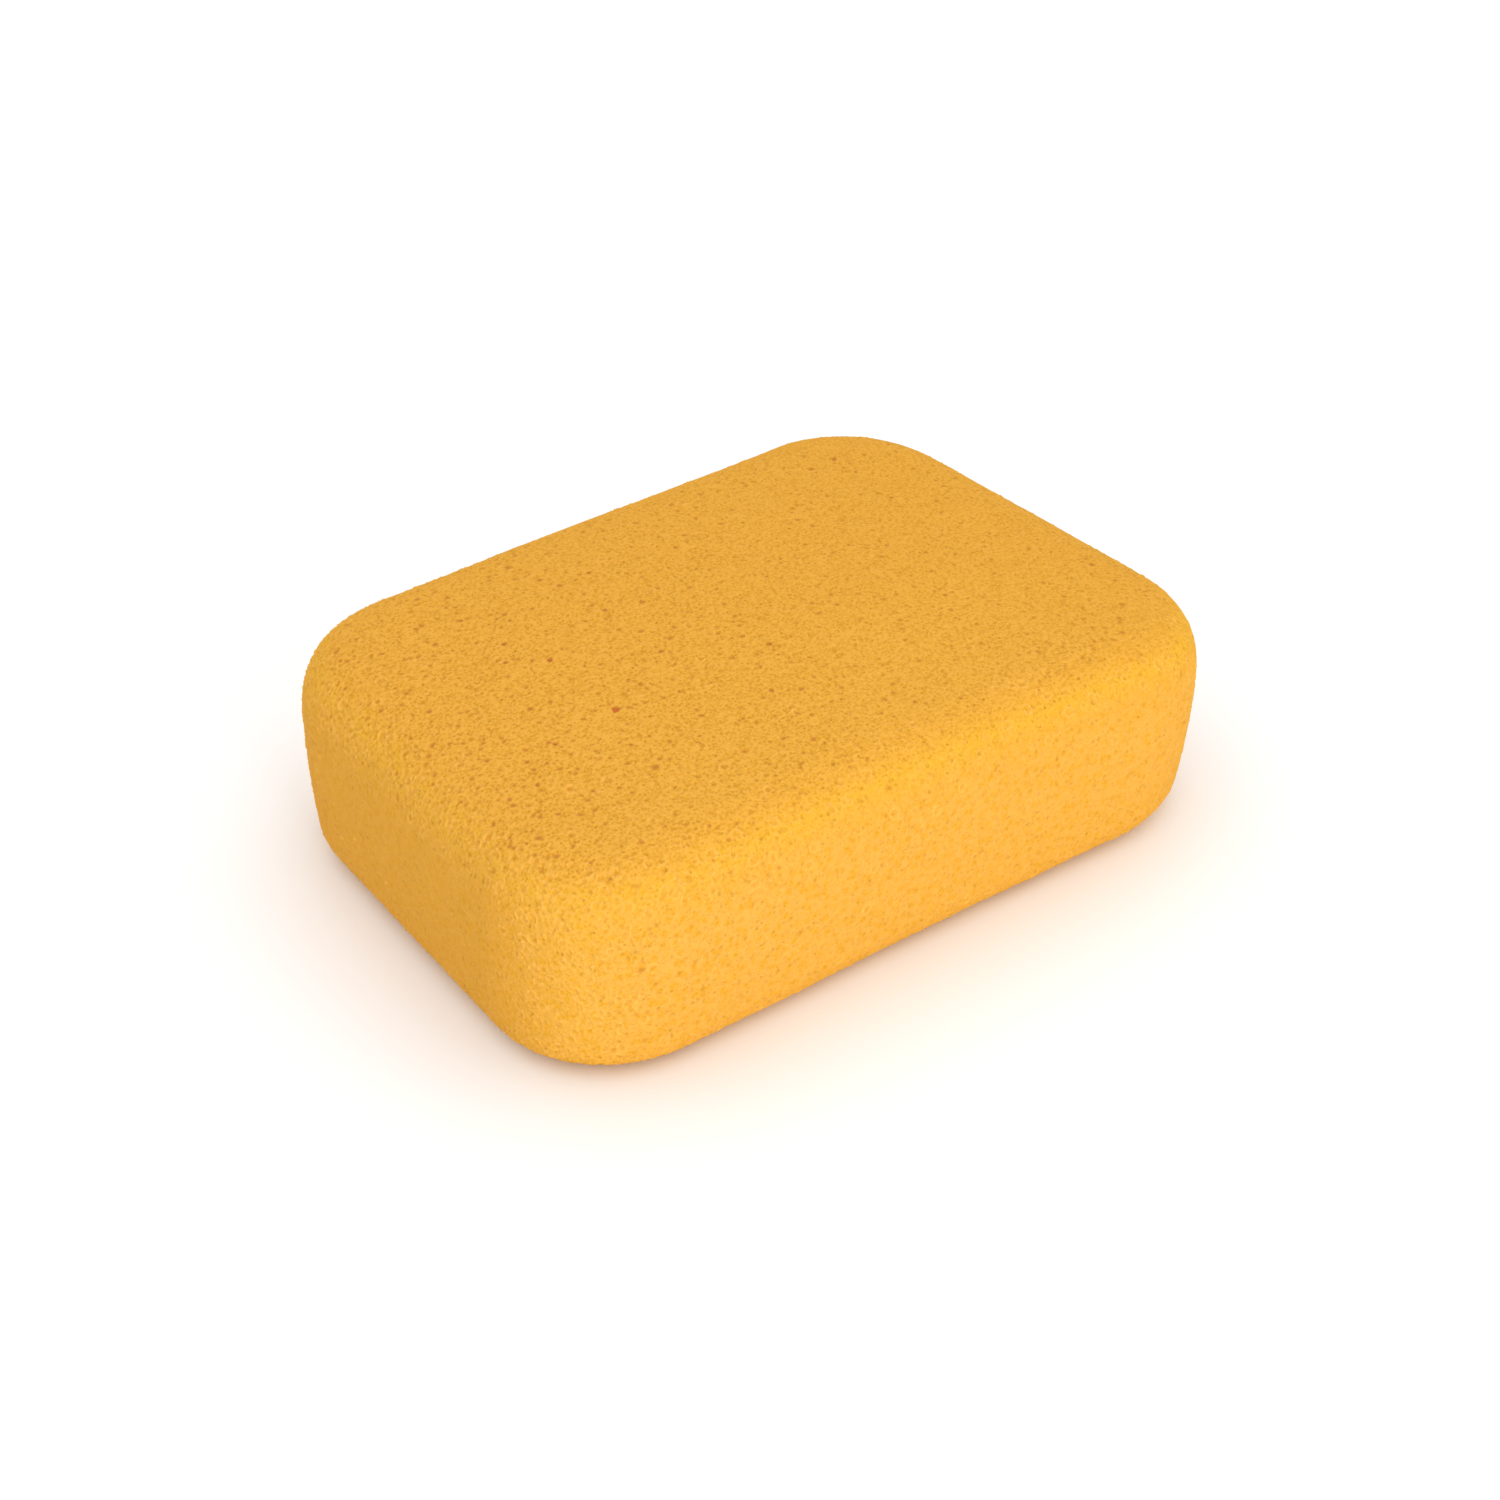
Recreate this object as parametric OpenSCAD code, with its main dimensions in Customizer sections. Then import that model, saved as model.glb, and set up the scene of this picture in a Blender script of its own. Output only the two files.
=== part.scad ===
// Grout sponge: one moulded block of open-cell foam.
// X runs along its length and Y across its width, and it lies on its flat underside at Z = 0.

/* [Overall size] */
// Overall length of the block
sponge_l = 190; // [150:1:240]
// Overall width of the block
sponge_w = 140; // [115:1:180]
// Height of the block at the rim of its top face
rim_h = 50; // [40:1:70]
// Rise of the top face from its rim to its middle
crown_h = 5; // [0:0.5:8]

/* [Corners and edges] */
// Radius of the four upright corners, seen from above
corner_r = 34; // [26:1:50]
// How far the soft top edge reaches in from the wall
top_edge_in = 20; // [8:1:22]
// How far the soft top edge reaches down the wall
top_edge_down = 17; // [8:1:22]
// Squareness of the soft top edge: 2 is an ellipse, and more is squarer
top_edge_power = 3; // [2:0.1:4]
// Radius of the bottom edge
bottom_edge_r = 10; // [3:1:14]
// How far the wall leans in at its foot
foot_in = 1.5; // [0:0.5:4]

/* [Facets] */
// Steps round each upright corner
corner_steps = 12; // [6:1:16]
// Steps along each side between two corners
side_steps = 7; // [4:1:12]
// Steps over the top edge
top_steps = 8; // [4:1:12]
// Steps round the bottom edge
bottom_steps = 5; // [3:1:8]
// Rings from the rim of the top face to its middle
crown_rings = 6; // [3:1:8]

/* [Hidden] */

half_l = sponge_l / 2;
half_w = sponge_w / 2;

// The body runs this far below its underside, where it is then cut off flat
cut_depth = 2;

// The way to each corner from the middle, anticlockwise seen from above
corners = [[1, 1], [-1, 1], [-1, -1], [1, -1]];
ring_points = len(corners) * (corner_steps + side_steps);

// A point on the arc of one upright corner, on the outline that lies inset inside the overall one
function corner_point(k, step, inset) =
    let (r = corner_r - inset, angle = 90 * (k + step / corner_steps))
    [
        corners[k].x * (half_l - corner_r) + r * cos(angle),
        corners[k].y * (half_w - corner_r) + r * sin(angle)
    ];

// A point on the straight side from corner k to the next one
function side_point(k, step, inset) =
    let (
        start = corner_point(k, corner_steps, inset),
        end = corner_point((k + 1) % len(corners), 0, inset)
    )
    start + (end - start) * step / side_steps;

// The rounded rectangle that lies inset inside the overall outline
function outline(inset) = [
    for (k = [0 : len(corners) - 1])
        each concat(
            [for (step = [0 : corner_steps]) corner_point(k, step, inset)],
            [for (step = [1 : side_steps - 1]) side_point(k, step, inset)]
        )
];

// The wall from below the underside to the rim, as pairs of inset and height
bottom_edge = [
    for (step = [0 : bottom_steps])
        let (angle = 90 * step / bottom_steps)
        [foot_in + bottom_edge_r * (1 - sin(angle)), bottom_edge_r * (1 - cos(angle))]
];
top_edge = [
    for (step = [0 : top_steps])
        let (angle = 90 * step / top_steps, power = 2 / top_edge_power)
        [
            top_edge_in * (1 - pow(cos(angle), power)),
            rim_h - top_edge_down * (1 - pow(sin(angle), power))
        ]
];
profile = concat([[bottom_edge[0][0], -cut_depth]], bottom_edge, top_edge);

// The crown lifts a point more towards the middle of the block and less towards its underside
function crown(x, y, z) =
    crown_h * (1 - pow(x / half_l, 2)) * (1 - pow(y / half_w, 2)) * pow(z / rim_h, 2);

function crowned(p, z) = [p.x, p.y, z + crown(p.x, p.y, z)];

wall_points = [
    for (level = profile)
        each [for (p = outline(level[0])) crowned(p, level[1])]
];
top_face_points = [
    for (ring = [1 : crown_rings - 1])
        each [for (p = outline(top_edge_in)) crowned(p * (1 - ring / crown_rings), rim_h)]
];
middle_points = [crowned([0, 0], rim_h), [0, 0, -cut_depth]];

// Two triangles join each pair of neighbouring points to the ring above
function band(ring) = [
    for (i = [0 : ring_points - 1])
        let (
            low = ring * ring_points,
            high = low + ring_points,
            next = (i + 1) % ring_points
        )
        each [[low + i, high + i, high + next], [low + i, high + next, low + next]]
];

module uncut_body() {
    rings = len(profile) + crown_rings - 1;
    top_middle = rings * ring_points;
    low_middle = top_middle + 1;
    last = top_middle - ring_points;
    bands = [for (ring = [0 : rings - 2]) each band(ring)];
    middles = [
        for (i = [0 : ring_points - 1])
            let (next = (i + 1) % ring_points)
            each [[last + i, top_middle, last + next], [i, next, low_middle]]
    ];
    polyhedron(
        points = concat(wall_points, top_face_points, middle_points),
        faces = concat(bands, middles),
        convexity = 2
    );
}

// The underside is one flat face
module sponge() {
    color("orange")
        difference() {
            uncut_body();
            translate([-half_l, -half_w, -2 * cut_depth])
                cube([sponge_l, sponge_w, 2 * cut_depth]);
        }
}

sponge();
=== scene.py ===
"""Looks of a grout sponge: one block of open-cell foam whose pores are real pits in its mesh.

Lengths are in metres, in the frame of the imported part: X along the sponge, Y across it, and Z up from its
underside.
"""

import math
from typing import NamedTuple

import bpy
import numpy as np
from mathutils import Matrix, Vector, kdtree, noise


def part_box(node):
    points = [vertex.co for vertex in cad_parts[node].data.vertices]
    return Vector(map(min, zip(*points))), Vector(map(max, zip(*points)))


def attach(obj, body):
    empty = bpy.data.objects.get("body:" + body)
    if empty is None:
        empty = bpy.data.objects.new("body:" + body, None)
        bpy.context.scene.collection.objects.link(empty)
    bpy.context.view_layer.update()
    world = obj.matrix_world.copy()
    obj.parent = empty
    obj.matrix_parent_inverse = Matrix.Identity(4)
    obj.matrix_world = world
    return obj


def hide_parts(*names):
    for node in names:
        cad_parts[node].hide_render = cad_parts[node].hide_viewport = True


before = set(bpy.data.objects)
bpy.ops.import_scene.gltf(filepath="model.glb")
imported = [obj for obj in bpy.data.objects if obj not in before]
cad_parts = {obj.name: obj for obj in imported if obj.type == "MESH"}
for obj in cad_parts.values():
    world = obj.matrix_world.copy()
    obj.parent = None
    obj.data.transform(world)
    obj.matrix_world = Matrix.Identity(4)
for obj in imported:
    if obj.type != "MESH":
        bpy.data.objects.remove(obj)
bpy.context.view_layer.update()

MM = 0.001

# The block, from the CAD box and the soft edges that the moulding gives it
LOW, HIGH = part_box("sponge")
HALF_L = (HIGH.x - LOW.x) / 2
HALF_W = (HIGH.y - LOW.y) / 2
CORNER_R = 34 * MM

# How much higher the middle of the top face is than its rim
CROWN = 5 * MM
RIM_H = HIGH.z - CROWN

# The soft top edge: how far it reaches in and down, and the power of its superellipse
TOP_IN = 20 * MM
TOP_DOWN = 17 * MM
TOP_POWER = 3.0

# The bottom edge, and how far the foot of the wall lies inside the plan
BOTTOM_R = 10 * MM
FOOT_IN = 1.5 * MM

# How far the block is out of true: foam is never quite square. The higher the power, the nearer the bulge
# and the waist keep to the faces that they belong to.
FACE_POWER = 5
END_BULGE = 0.5 * MM
SIDE_WAIST = 1.6 * MM
LEAN_X = 1.15 * MM
LEAN_Y = 0.4 * MM
SKEW = 1.6 * MM
TAPER_X = -2.3 * MM
TAPER_Y = 1.55 * MM

# (length, height) of the slow waves in its sides and top, and their seed: without one, Blender's noise
# follows the clock
WAVES = ((45 * MM, 0.45 * MM), (14 * MM, 0.15 * MM))
WAVES_SEED = 52

# How finely the smooth block is drawn: points along each stretch of its outline, its wall and its two faces
CORNER_POINTS, STRAIGHT_POINTS = 40, 42
EDGE_POINTS, WALL_POINTS = 20, 18
FACE_POINTS = 40

# The size of the quads that carry the pores
VOXEL = 0.42 * MM


class Pores(NamedTuple):
    """One family of pores in the foam's skin."""

    spacing: float  # mean distance between the places that are drawn for them
    smallest: float  # radius of the smallest mouth
    largest: float  # radius of the largest mouth
    depth: float  # depth in the middle, per radius
    dish: float  # over 1 for a soft dish, under 1 for a hole with a sharp brink
    rim: float  # height of the raised rim, per radius
    # how dark the inside of the pores is painted, as painted shade
    pore_shade: float  # how far the inside takes the darker colour, up to 1
    on_flats: float  # share of them that is left on the flat faces


PIT = Pores(60 * MM, 0.8 * MM, 1.1 * MM, depth=0.6, dish=0.8, rim=0.0, pore_shade=1.0, on_flats=1.0)
FAMILIES = (
    PIT,
    Pores(1.5 * MM, 0.50 * MM, 1.05 * MM, depth=0.40, dish=1.0, rim=0.18, pore_shade=0.20, on_flats=0.02),
    Pores(4.2 * MM, 0.6 * MM, 1.0 * MM, depth=0.3, dish=1.2, rim=0.0, pore_shade=0.55, on_flats=1.0),
    Pores(1.9 * MM, 0.35 * MM, 0.60 * MM, depth=0.42, dish=1.0, rim=0.0, pore_shade=0.3, on_flats=1.0),
)

PORES_SEED = 20

# (x, y, radius) of the pits that stand out on the top face, with the reddest painted shade inside, and the
# way along which they are long
TOP_PITS = (
    (-45 * MM, -15 * MM, 1.2 * MM),
    (-45 * MM, 10 * MM, 0.9 * MM),
    (65 * MM, 46 * MM, 0.9 * MM),
)
TOP_PITS_WAY = (0.6, 0.8, 0)

# The rim of a pore, per radius: where it is highest, how wide it is and where it ends
RIM_AT, RIM_WIDTH, RIM_END = 1.2, 0.25, 1.8

# How far a pore keeps the middles of others away, per radius
OWN_GROUND = 1.3

# The noise that makes the mouths uneven and breaks their rims: its size, its strength on each, and the most
# that it can make of a rim's height
MOUTH_NOISE_SIZE = 0.9 * MM
MOUTH_NOISE, RIM_NOISE = 0.4, 2.5
HIGHEST_RIM = 1.4

# How the pores of a family differ. The higher the power, the more of them are small.
SIZE_POWER = 2

# The narrowest mouth is this many times as long as it is wide
NARROWEST = 1.3

# The faintest painted shade inside a pore is this share of the family's own
FAINTEST = 0.4

# How far the mouths' long ways are spread along X, Y and Z: on the sides, most of them stand up
WAYS = (1, 1, 2)

# How much denser and stronger the pores are at the -X end than in the middle
COARSER_END = 0.16

# The cells of the edges: how fast they come in as the skin gets rounder, how fast they thin out from the
# -X end, and the share that is left at the +X end
EDGE_CELLS_RISE = 2
EDGE_CELLS_FADE = 1.0
FEWEST_EDGE_CELLS = 0.2

# How much calmer the skin is on the sides than on the top and the underside, and how much calmer where it
# slants between them along a long side
CALMER_SIDES = 0.50
CALMER_SLANT = 0.25

# How much calmer still it is on the -X end; the higher the power, the nearer that keeps to the flat of it
CALMER_END = 0.30
END_POWER = 3


# ---------------------------------------------------------------- the block


def outline(inset):
    """The rounded rectangle that lies inset inside the block's plan, anticlockwise."""
    radius = CORNER_R - inset
    arc = np.linspace(0, math.pi / 2, CORNER_POINTS)
    side = np.linspace(0, 1, STRAIGHT_POINTS)[1:-1, None]
    corners = []
    for quarter, (sx, sy) in enumerate(((1, 1), (-1, 1), (-1, -1), (1, -1))):
        turn = arc + quarter * math.pi / 2
        centre = np.array([sx * (HALF_L - CORNER_R), sy * (HALF_W - CORNER_R)])
        corners.append(centre + radius * np.column_stack([np.cos(turn), np.sin(turn)]))
    parts = []
    for corner, following in zip(corners, corners[1:] + corners[:1]):
        parts.append(corner)
        parts.append(corner[-1] * (1 - side) + following[0] * side)
    return np.concatenate(parts)


def wall_profile():
    """(inset, height) pairs from the foot of the wall up to the rim of the top face."""
    turn = np.linspace(0, math.pi / 2, EDGE_POINTS)
    bottom = np.column_stack([FOOT_IN + BOTTOM_R * (1 - np.sin(turn)), BOTTOM_R * (1 - np.cos(turn))])
    rise = np.linspace(0, 1, WALL_POINTS)[1:-1]
    wall = np.column_stack([FOOT_IN * (1 - rise) ** 2, BOTTOM_R + rise * (RIM_H - TOP_DOWN - BOTTOM_R)])
    power = 2 / TOP_POWER
    top = np.column_stack(
        [TOP_IN * (1 - np.cos(turn) ** power), RIM_H - TOP_DOWN * (1 - np.sin(turn) ** power)]
    )
    return np.concatenate([bottom, wall, top])


def block_points():
    """Rings of points from the middle of the underside, up the wall and in to the middle of the top."""
    profile = wall_profile()
    inwards = np.linspace(0, 1, FACE_POINTS)[1:-1]
    foot, rim = outline(profile[0][0]), outline(profile[-1][0])
    rings = [np.column_stack([foot * s, np.zeros(len(foot))]) for s in inwards]
    for inset, height in profile:
        ring = outline(max(inset, 0))
        rings.append(np.column_stack([ring, np.full(len(ring), height)]))
    rings += [np.column_stack([rim * s, np.full(len(rim), RIM_H)]) for s in inwards[::-1]]
    return np.array(rings)


def crowned(points):
    """Lifts the top face towards its middle."""
    across = (1 - (points[..., 0] / HALF_L) ** 2) * (1 - (points[..., 1] / HALF_W) ** 2)
    lifted = points.copy()
    lifted[..., 2] += CROWN * across * (points[..., 2] / RIM_H) ** 2
    return lifted


def out_of_true(points):
    """The small skew and lean of a moulded block, whose ends bulge and whose sides are pulled in."""
    x, y = points[..., 0] / HALF_L, points[..., 1] / HALF_W
    height = points[..., 2] / HIGH.z
    bent = points.copy()
    bent[..., 0] += LEAN_X * height + SKEW * y + TAPER_X * x * y + END_BULGE * x**FACE_POWER * (1 - y**2)
    bent[..., 1] += LEAN_Y * height + TAPER_Y * x * y - SIDE_WAIST * y**FACE_POWER * (1 - x**2)
    return bent


def wavy(points):
    """Lets the sides and the top sway a little, and leaves the underside flat."""
    noise.seed_set(WAVES_SEED)
    flat = points.reshape(-1, 3)
    swayed = flat.copy()
    for length, height in WAVES:
        sway = np.array([noise.noise_vector(Vector(point / length)) for point in flat])
        sway[:, 2] *= flat[:, 2] / HIGH.z
        swayed += height * sway
    return swayed.reshape(points.shape)


def in_cad_box(points):
    """The same points, with their own box stretched onto the CAD box."""
    flat = points.reshape(-1, 3)
    low, high = flat.min(axis=0), flat.max(axis=0)
    return (points - low) / (high - low) * np.array(HIGH - LOW) + np.array(LOW)


def closed_rings(rings, name):
    """A closed mesh of quads through the rings, with a fan to a middle point at each end."""
    count, size = rings.shape[:2]
    points = rings.reshape(-1, 3)
    ends = [rings[0].mean(axis=0), rings[-1].mean(axis=0)]
    vertices = np.concatenate([points, ends])
    i = np.arange(size)
    following = (i + 1) % size
    faces = []
    for ring in range(count - 1):
        low, high = ring * size, (ring + 1) * size
        faces += np.column_stack([low + i, low + following, high + following, high + i]).tolist()
    under, over = count * size, count * size + 1
    last = (count - 1) * size
    faces += np.column_stack([following, i, np.full(size, under)]).tolist()
    faces += np.column_stack([last + i, last + following, np.full(size, over)]).tolist()
    mesh = bpy.data.meshes.new(name)
    mesh.from_pydata(vertices.tolist(), [], faces)
    return mesh


def smooth_block():
    """The block without its pores, as an even mesh of small quads."""
    rings = in_cad_box(wavy(out_of_true(crowned(block_points()))))
    rough = bpy.data.objects.new("rough_block", closed_rings(rings, "rough_block"))
    bpy.context.scene.collection.objects.link(rough)
    even = rough.modifiers.new("even", "REMESH")
    even.mode = "VOXEL"
    even.voxel_size = VOXEL
    even.use_smooth_shade = True
    evaluated = rough.evaluated_get(bpy.context.evaluated_depsgraph_get())
    mesh = bpy.data.meshes.new_from_object(evaluated)
    mesh.name = "sponge_foam"
    bpy.data.objects.remove(rough)
    return mesh


def read_values(items, name, size=3):
    """The named value of every item of a mesh, in one array with a row for each."""
    values = np.empty(len(items) * size)
    items.foreach_get(name, values)
    return values.reshape(-1, size)


# ---------------------------------------------------------------- the flat layout for textures

# The side of the square sheet, the gap between the parts on it, and how upright the normals of the top and
# the underside are at least
SHEET = 345 * MM
SHEET_GAP = 4 * MM
FLAT_ENOUGH = 0.7

# Half of the straight stretch of a side and of an end, and the way round the wall from one to the other
SIDE_L, SIDE_W = HALF_L - CORNER_R, HALF_W - CORNER_R
QUARTER = SIDE_W + CORNER_R * math.pi / 2 + SIDE_L


def way_round(x, y, side):
    """The way round the wall from the middle of the +X end, where side is the sign of y on that half."""
    across = np.minimum(y * side, SIDE_W)
    turn = np.arctan2(np.maximum(y * side - SIDE_W, 0), np.maximum(abs(x) - SIDE_L, 0))
    way = across + CORNER_R * turn + np.clip(SIDE_L - abs(x), 0, SIDE_L)
    return np.where(x > 0, way, 2 * QUARTER - way)


def lay_flat(mesh):
    """A texture layout with the top, the underside and the two halves of the wall side by side."""
    corners = read_values(mesh.loops, "vertex_index", 1).astype(int)[:, 0]
    corners_each = read_values(mesh.polygons, "loop_total", 1).astype(int)[:, 0]
    normals = np.repeat(read_values(mesh.polygons, "normal"), corners_each, axis=0)
    centres = np.repeat(read_values(mesh.polygons, "center"), corners_each, axis=0)
    x, y, z = read_values(mesh.vertices, "co")[corners].T
    side = np.where(centres[:, 1] > 0, 1, -1)
    top = np.column_stack([x + HALF_L, y + HALF_W])
    under = np.column_stack([2 * HALF_L + SHEET_GAP + HALF_W - y, x + HALF_L])
    strip = 2 * HALF_L + SHEET_GAP + (side > 0) * (HIGH.z + SHEET_GAP)
    wall = np.column_stack([way_round(x, y, side), strip + z])
    up = normals[:, 2:]
    flat = np.where(up > FLAT_ENOUGH, top, np.where(up < -FLAT_ENOUGH, under, wall))
    layer = mesh.uv_layers.new(name="OFBake")
    layer.data.foreach_set("uv", (flat / SHEET).ravel())


# ---------------------------------------------------------------- pores


def tree_of(points):
    tree = kdtree.KDTree(len(points))
    for i, point in enumerate(points):
        tree.insert(point, i)
    tree.balance()
    return tree


def rounding(normals):
    """1 where the block's skin is most curved, at its corners, and 0 where it is square to an axis."""
    return (1 - abs(normals).max(axis=1)) / (1 - 1 / math.sqrt(3))


class Skin:
    """The smooth skin of the block, and what the pores do to each of its points.

    For each point, edge says how rounded the block is there, side how far the skin has turned from the
    top or the underside, and strength how deep and dark its pores are. The pores fill in sunk, raised,
    pore_shade, the painted shade inside them, and taken.
    """

    def __init__(self, mesh):
        self.points = read_values(mesh.vertices, "co")
        self.normals = read_values(mesh.vertices, "normal")
        self.tree = tree_of(self.points)
        self.area = read_values(mesh.polygons, "area", 1).sum()
        bumpy = np.array([noise.noise(Vector(point / MOUTH_NOISE_SIZE)) for point in self.points])
        self.unevenness = 1 + MOUTH_NOISE * bumpy
        self.rim_left = np.clip(1 + RIM_NOISE * bumpy, 0, HIGHEST_RIM)
        self.edge = rounding(self.normals)
        self.side = 1 - abs(self.normals[:, 2])
        self.coarseness = 1 - COARSER_END * self.points[:, 0] / HALF_L
        slant = 2 * abs(self.normals[:, 1] * self.normals[:, 2])
        end_on = np.clip(-self.normals[:, 0], 0, 1) ** END_POWER
        calm = CALMER_SIDES * self.side + CALMER_END * end_on + CALMER_SLANT * slant
        self.strength = self.coarseness * (1 - calm)
        self.sunk, self.raised, self.pore_shade = np.zeros((3, len(self.points)))
        self.taken = np.zeros(len(self.points), bool)

    def press(self, middle, radius, family, narrowness, tone, way):
        """Makes one pore round a point, narrower across the way than along it, unless another is there."""
        if self.taken[middle]:
            return
        near = np.array([i for _, i, _ in self.tree.find_range(self.points[middle], radius * RIM_END)])
        offset = self.points[near] - self.points[middle]
        across = np.cross(self.normals[middle], way)
        across = offset @ (across / np.linalg.norm(across))
        reach = np.sqrt((offset**2).sum(axis=1) + (narrowness**2 - 1) * across**2) / radius
        reach *= self.unevenness[near]
        bowl = np.clip(1 - reach**2, 0, 1) ** family.dish
        ring = np.exp(-(((reach - RIM_AT) / RIM_WIDTH) ** 2)) * self.rim_left[near]
        self.sunk[near] = np.maximum(self.sunk[near], family.depth * radius * bowl)
        self.raised[near] = np.maximum(self.raised[near], family.rim * radius * ring)
        # Painted shade inside the pore, darkest in its middle
        self.pore_shade[near] = np.maximum(self.pore_shade[near], tone * bowl)
        self.taken[near[reach < OWN_GROUND]] = True

    def scatter(self, family, rng):
        """Presses one family of pores into the skin, at places drawn from rng."""
        count = int(self.area / family.spacing**2)
        middles = rng.integers(len(self.points), size=count)
        from_end = 1 + self.points[middles, 0] / HALF_L
        near_end = np.clip(1 - EDGE_CELLS_FADE * from_end, FEWEST_EDGE_CELLS, 1)
        on_edge = EDGE_CELLS_RISE * self.edge[middles] * near_end
        on_place = family.on_flats + (1 - family.on_flats) * on_edge
        chance = on_place * self.coarseness[middles] / (1 + COARSER_END)
        radii = family.smallest + (family.largest - family.smallest) * rng.random(count) ** SIZE_POWER
        narrowness = 1 + (NARROWEST - 1) * rng.random(count)
        tones = family.pore_shade * (FAINTEST + (1 - FAINTEST) * rng.random(count))
        ways = rng.normal(size=(count, 3)) * WAYS
        for i in np.flatnonzero(rng.random(count) < chance):
            self.press(middles[i], radii[i], family, narrowness[i], tones[i], ways[i])


def cut_pores(mesh):
    """Pushes pores into the block, and keeps for the material what part of a pore each point is."""
    skin = Skin(mesh)
    for x, y, radius in TOP_PITS:
        middle = skin.tree.find((x, y, HIGH.z))[1]
        skin.press(middle, radius, PIT, NARROWEST, tone=1.0, way=TOP_PITS_WAY)
    rng = np.random.default_rng(PORES_SEED)
    for family in FAMILIES:
        skin.scatter(family, rng)
    outwards = skin.raised * (skin.sunk == 0) - skin.sunk * skin.strength
    moved = skin.points + skin.normals * outwards[:, None]
    moved[:, 2] = np.maximum(moved[:, 2], LOW.z)
    mesh.vertices.foreach_set("co", moved.ravel())
    kept = {
        "pore_shade": skin.pore_shade * skin.strength,
        "rim": skin.raised / MM,
        "edge": skin.edge,
        "side": skin.side,
        "strength": skin.strength,
    }
    for name, values in kept.items():
        mesh.attributes.new(name, "FLOAT", "POINT").data.foreach_set("value", values)
    mesh.update()


# ---------------------------------------------------------------- material

# The finest texture, too small for the mesh: the sizes of its grain and its cells, and how deep it looks
GRAIN = 0.55 * MM
CELLS = 0.85 * MM
BUMP_DEPTH = 0.2 * MM

# The size of the blotches of the sides, which are colour only
BLOTCHES = 2.1 * MM

# Its specks: their spacing; the span of each cell's random value over which they grow; their smallest and
# largest radius, per spacing; and from where to where in that radius they come in
SPECK_SPACING = 1.5 * MM
SPECK_CHANCE = (0.3, 1.0)
SPECK_RADIUS = (0.02, 0.40)
SPECK_BRINK = (1.0, 0.4)

# How much painted shade and painted highlight the grain and the cells bring in, and how much painted shade
# the specks
GRAIN_SHARE = 0.45
SPECK_SHADE_SHARE = 0.2

# The values of the grain and the cells that bring in nothing, most of the painted shade and most of the
# painted highlight
GRAIN_LEVELS = (0.50, 0.30, 0.70)
CELL_LEVELS = (0.33, 0.0, 0.66)

# Where each value brings its colour in: from, to, and the share at the two where that isn't 0 and 1
# The edge value brings in a painted highlight on the rounded edges
EDGE_HIGHLIGHT_SPAN = (0.1, 0.7, 0.0, 0.8)
SIDE_SPAN = (0.2, 1.0, 0.0, 1.2)
BLOTCHES_SPAN = (0.15, 0.60)
# The rim heights over which the painted highlight on the rims comes in
RIM_HIGHLIGHT_SPAN = (0.0, 0.16)
# How the painted shade inside the pores brings in the darker, brown and red colours
SHADE_SPAN = (0.0, 0.7)
BROWN_SHADE_SPAN = (0.15, 0.5)
RED_SHADE_SPAN = (0.6, 1.0)

# The foam's colours. The shade colour is painted shade for the hollows of the fine relief, the specks and
# the pores: darker and more saturated, as light that has met more of the foam comes back from there. The
# highlight colour is a painted highlight for the high points and the rims, and the edge colour a painted
# highlight on the rounded edges.
FOAM = (0.705, 0.337, 0.032, 1)
# Painted highlight: brighter, yellower foam for the rounded edges
FOAM_EDGE_HIGHLIGHT = (0.745, 0.392, 0.020, 1)
# Painted shade: the colour of the skin's hollows
FOAM_SHADE = (0.49, 0.200, 0.006, 1)
# Painted highlight: the colour of the skin's high points and rims
FOAM_HIGHLIGHT = (0.84, 0.430, 0.073, 1)
BLOTCH_ORANGE = (0.68, 0.304, 0.005, 1)
BLOTCH_PALE = (0.735, 0.374, 0.070, 1)
# Painted shade inside the pores: brown, and red in the deepest
PORE_SHADE_BROWN = (0.56, 0.208, 0.042, 1)
PIT_SHADE_RED = (0.70, 0.165, 0.034, 1)

# The foam doesn't shine
ROUGHNESS = 1.0
SPECULAR = 0.1


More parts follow.
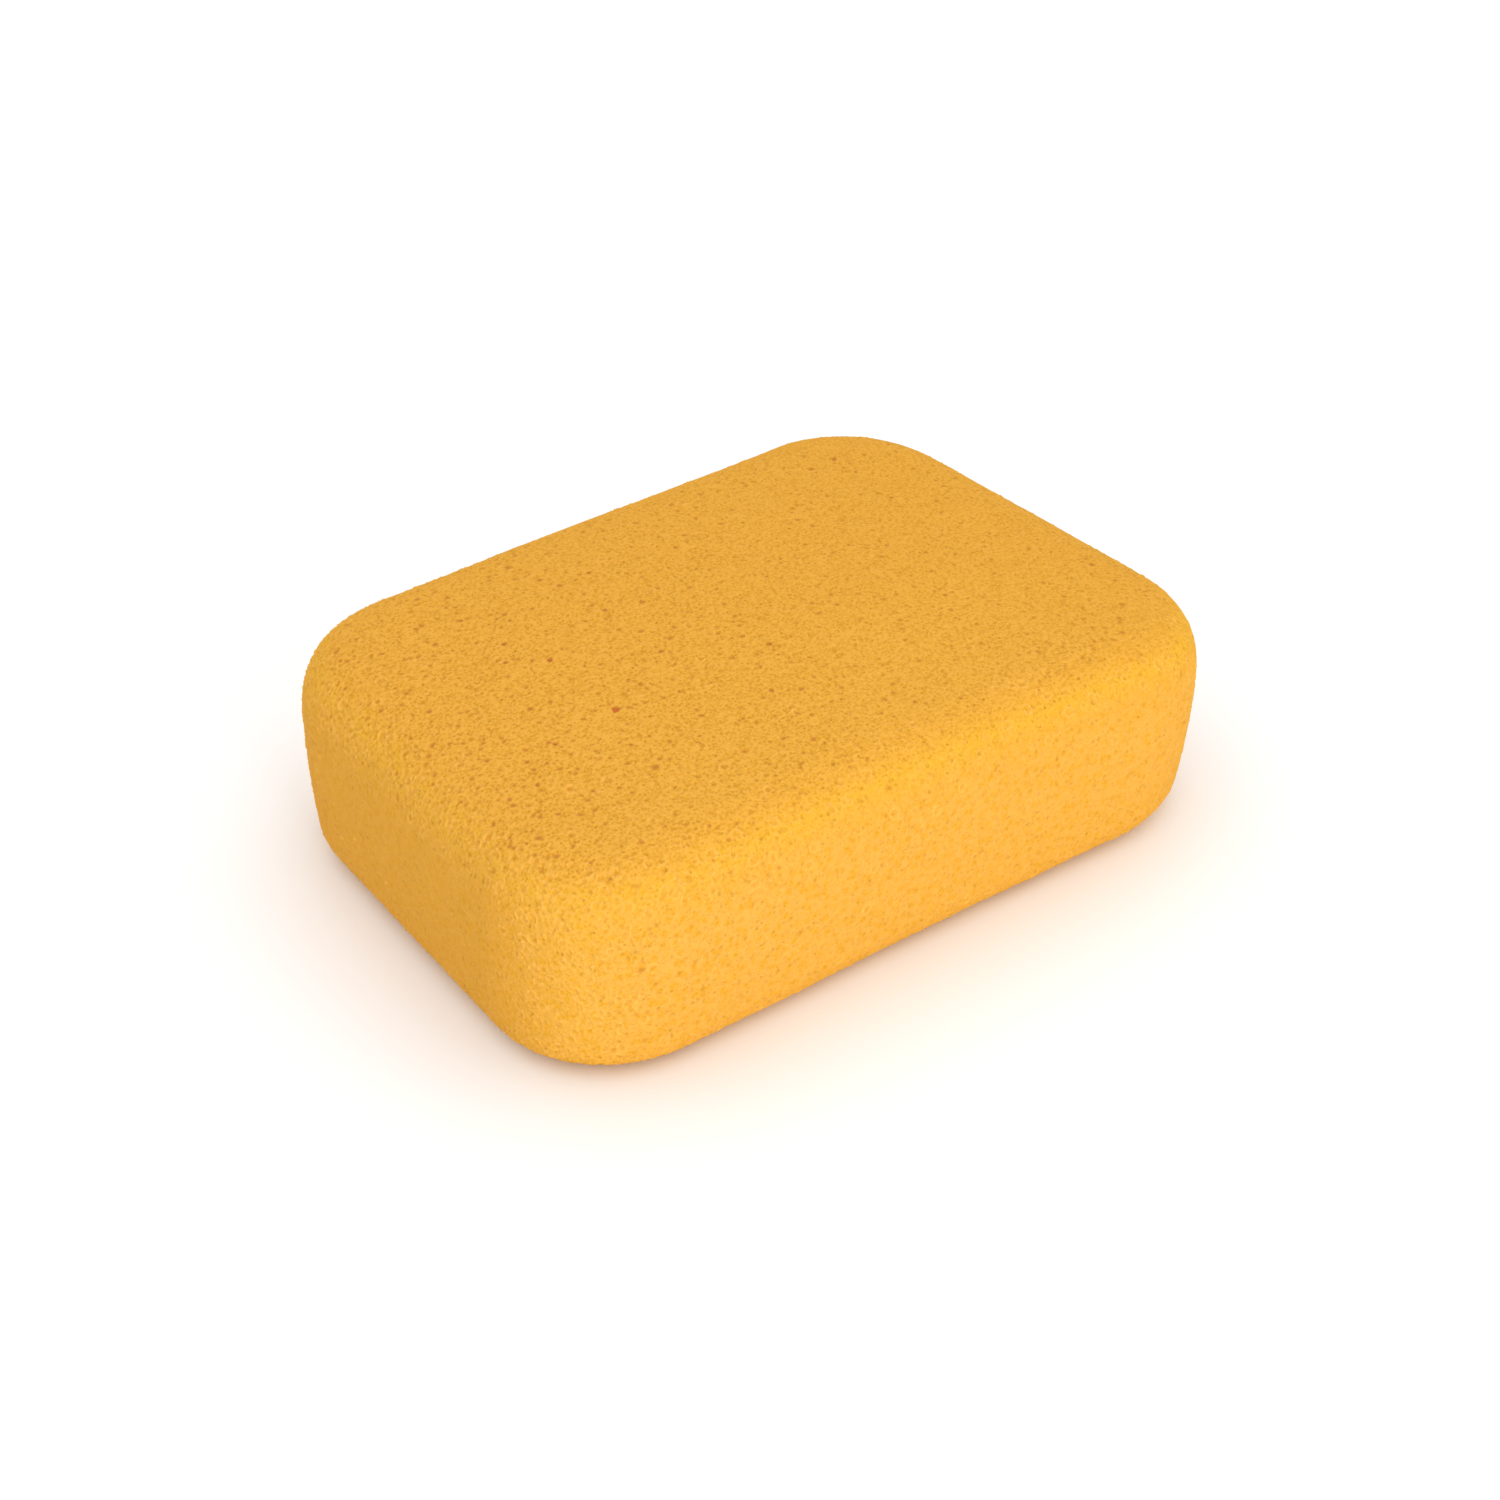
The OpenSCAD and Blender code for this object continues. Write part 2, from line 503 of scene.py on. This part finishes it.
class Shading:
    """The nodes of one material, each made by a call that says what it gives."""

    def __init__(self, name):
        self.material = bpy.data.materials.new(name)
        self.material.use_nodes = True
        self.nodes = self.material.node_tree.nodes
        self.links = self.material.node_tree.links
        self.shader = self.nodes["Principled BSDF"]
        self.place = self.nodes.new("ShaderNodeTexCoord").outputs["Object"]

    def add(self, kind, **inputs):
        """A node whose named inputs are set to a number, or linked to another node's output."""
        node = self.nodes.new(kind)
        for name, value in inputs.items():
            self.feed(node.inputs[name.replace("_", " ")], value)
        return node

    def feed(self, socket, value):
        if isinstance(value, bpy.types.NodeSocket):
            self.links.new(value, socket)
        else:
            socket.default_value = value

    def noise(self, size):
        node = self.add("ShaderNodeTexNoise", Vector=self.place, Scale=1 / size, Detail=2.0)
        return node.outputs["Fac"]

    def ramp(self, value, start, end, low=0.0, high=1.0):
        """low to high, as the value goes from start to end."""
        limits = {"From_Min": start, "From_Max": end, "To_Min": low, "To_Max": high}
        return self.add("ShaderNodeMapRange", Value=value, **limits).outputs["Result"]

    def calculate(self, operation, first, second):
        node = self.add("ShaderNodeMath")
        node.operation = operation
        self.feed(node.inputs[0], first)
        self.feed(node.inputs[1], second)
        return node.outputs["Value"]

    def mix(self, share, first, second):
        """The first colour, going over to the second as the share goes from 0 to 1."""
        node = self.nodes.new("ShaderNodeMix")
        node.data_type = "RGBA"
        self.feed(node.inputs["Factor"], share)
        self.feed(node.inputs["A"], first)
        self.feed(node.inputs["B"], second)
        return node.outputs["Result"]

    def attribute(self, name):
        node = self.nodes.new("ShaderNodeAttribute")
        node.attribute_name = name
        return node.outputs["Fac"]

    def cells(self, spacing):
        """A node that fills space with cells of that size, and gives the distance to the nearest middle."""
        return self.add("ShaderNodeTexVoronoi", Vector=self.place, Scale=1 / spacing)

    def specks(self):
        """1 in the middle of scattered specks, and 0 between them."""
        cells = self.cells(SPECK_SPACING)
        chance = self.add("ShaderNodeSeparateColor", Color=cells.outputs["Color"]).outputs["Red"]
        radius = self.ramp(chance, *SPECK_CHANCE, *SPECK_RADIUS)
        return self.ramp(self.calculate("DIVIDE", cells.outputs["Distance"], radius), *SPECK_BRINK)


def base_colour(foam, strength):
    """The foam's colour, brighter and yellower on its rounded edges as a painted highlight, and blotchy on
    its sides.
    """
    # A painted highlight on the rounded edges
    colour = foam.mix(foam.ramp(foam.attribute("edge"), *EDGE_HIGHLIGHT_SPAN), FOAM, FOAM_EDGE_HIGHLIGHT)
    blotches = foam.ramp(foam.cells(BLOTCHES).outputs["Distance"], *BLOTCHES_SPAN)
    share = foam.calculate("MULTIPLY", foam.ramp(foam.attribute("side"), *SIDE_SPAN), strength)
    return foam.mix(share, colour, foam.mix(blotches, BLOTCH_ORANGE, BLOTCH_PALE))


def paint_relief_shading(foam, colour, value, levels, strength):
    """The colour, with painted shade where the value, which is also the height of the bump, is below the
    first of its levels, and a painted highlight where it is above.
    """
    plain, deepest, palest = levels
    deeper = foam.calculate("MULTIPLY", foam.ramp(value, plain, deepest, 0.0, GRAIN_SHARE), strength)
    colour = foam.mix(deeper, colour, FOAM_SHADE)
    paler = foam.calculate("MULTIPLY", foam.ramp(value, plain, palest, 0.0, GRAIN_SHARE), strength)
    return foam.mix(paler, colour, FOAM_HIGHLIGHT)


def pored(foam, colour):
    """The colour, with a painted highlight on the raised rims round the pores of the mesh, and painted
    shade inside them: darker, browner, and redder in the deepest.
    """
    # A painted highlight on the raised rims
    colour = foam.mix(foam.ramp(foam.attribute("rim"), *RIM_HIGHLIGHT_SPAN), colour, FOAM_HIGHLIGHT)
    # Painted shade inside the pores
    pore_shade = foam.attribute("pore_shade")
    colour = foam.mix(foam.ramp(pore_shade, *SHADE_SPAN), colour, FOAM_SHADE)
    colour = foam.mix(foam.ramp(pore_shade, *BROWN_SHADE_SPAN), colour, PORE_SHADE_BROWN)
    return foam.mix(foam.ramp(pore_shade, *RED_SHADE_SPAN), colour, PIT_SHADE_RED)


def foam_colour(foam, grain, cells, specks):
    strength = foam.attribute("strength")
    colour = base_colour(foam, strength)
    colour = paint_relief_shading(foam, colour, grain, GRAIN_LEVELS, strength)
    colour = paint_relief_shading(foam, colour, cells, CELL_LEVELS, strength)
    # Painted shade in the specks, which are also hollows of the bump
    speck_shade = foam.calculate("MULTIPLY", specks, foam.calculate("MULTIPLY", strength, SPECK_SHADE_SHARE))
    return pored(foam, foam.mix(speck_shade, colour, FOAM_SHADE))


def foam_material():
    foam = Shading("foam")
    grain = foam.noise(GRAIN)
    cells = foam.cells(CELLS).outputs["Distance"]
    specks = foam.specks()
    foam.feed(foam.shader.inputs["Base Color"], foam_colour(foam, grain, cells, specks))
    foam.feed(foam.shader.inputs["Roughness"], ROUGHNESS)
    foam.feed(foam.shader.inputs["Specular IOR Level"], SPECULAR)
    height = foam.calculate("SUBTRACT", foam.calculate("ADD", cells, grain), specks)
    bump = foam.add("ShaderNodeBump", Strength=1.0, Distance=BUMP_DEPTH, Height=height)
    foam.feed(foam.shader.inputs["Normal"], bump.outputs["Normal"])
    return foam.material


def make_sponge():
    mesh = smooth_block()
    lay_flat(mesh)
    cut_pores(mesh)
    mesh.materials.append(foam_material())
    sponge = bpy.data.objects.new("sponge_foam", mesh)
    bpy.context.scene.collection.objects.link(sponge)
    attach(sponge, "root")
    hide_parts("sponge")


# ---------------------------------------------------------------- stage, light and camera

# The floor lies just under the foam, so that no two faces share a plane
FLOOR_HALF = 3.0
FLOOR_DROP = 0.05 * MM
FLOOR_COLOUR = (0.93, 0.93, 0.93, 1)
FLOOR_ROUGHNESS = 0.9

# White light from all round
WORLD_COLOUR = (1, 1, 1, 1)
WORLD_STRENGTH = 0.86

# The camera: its sensor and lens in millimetres, its place round the middle of the block, and the point
# that it looks at
SENSOR, LENS = 36, 65
CAMERA_AZIMUTH, CAMERA_ELEVATION = -37.6, 33.7
CAMERA_DISTANCE = 0.6248
CAMERA_AIM = Vector((-1.6, -5.5, 19.7)) * MM


def direction(azimuth, elevation):
    """The unit vector from the sponge towards a place at that azimuth and elevation, in degrees."""
    turn, rise = math.radians(azimuth), math.radians(elevation)
    return Vector((math.sin(turn) * math.cos(rise), -math.cos(turn) * math.cos(rise), math.sin(rise)))


def make_floor():
    half = FLOOR_HALF
    corners = [(-half, -half, 0), (half, -half, 0), (half, half, 0), (-half, half, 0)]
    mesh = bpy.data.meshes.new("floor")
    mesh.from_pydata(corners, [], [(0, 1, 2, 3)])
    material = bpy.data.materials.new("pale_floor")
    material.use_nodes = True
    shader = material.node_tree.nodes["Principled BSDF"]
    shader.inputs["Base Color"].default_value = FLOOR_COLOUR
    shader.inputs["Roughness"].default_value = FLOOR_ROUGHNESS
    mesh.materials.append(material)
    floor = bpy.data.objects.new("floor", mesh)
    floor.location.z = -FLOOR_DROP
    bpy.context.scene.collection.objects.link(floor)


def make_lamp(name, azimuth, elevation, distance, size, power):
    """A square lamp that faces the frame's origin."""
    light = bpy.data.lights.new(name, "AREA")
    light.size = size
    light.energy = power
    lamp = bpy.data.objects.new(name, light)
    lamp.location = direction(azimuth, elevation) * distance
    lamp.rotation_euler = direction(azimuth, elevation).to_track_quat("Z", "Y").to_euler()
    bpy.context.scene.collection.objects.link(lamp)


def make_light():
    world = bpy.data.worlds.new("studio")
    world.use_nodes = True
    background = world.node_tree.nodes["Background"]
    background.inputs["Color"].default_value = WORLD_COLOUR
    background.inputs["Strength"].default_value = WORLD_STRENGTH
    bpy.context.scene.world = world
    make_lamp("ceiling", azimuth=0, elevation=90, distance=2.5, size=4.0, power=31)
    make_lamp("key", azimuth=-10, elevation=8, distance=1.2, size=0.35, power=5.8)
    bpy.context.scene.view_settings.view_transform = "Standard"


def make_camera():
    data = bpy.data.cameras.new("camera")
    data.sensor_width = SENSOR
    data.lens = LENS
    camera = bpy.data.objects.new("camera", data)
    centre = (LOW + HIGH) / 2
    camera.location = centre + direction(CAMERA_AZIMUTH, CAMERA_ELEVATION) * CAMERA_DISTANCE
    camera.rotation_euler = (camera.location - CAMERA_AIM).to_track_quat("Z", "Y").to_euler()
    bpy.context.scene.collection.objects.link(camera)
    bpy.context.scene.camera = camera


make_camera()
make_sponge()
make_floor()
make_light()
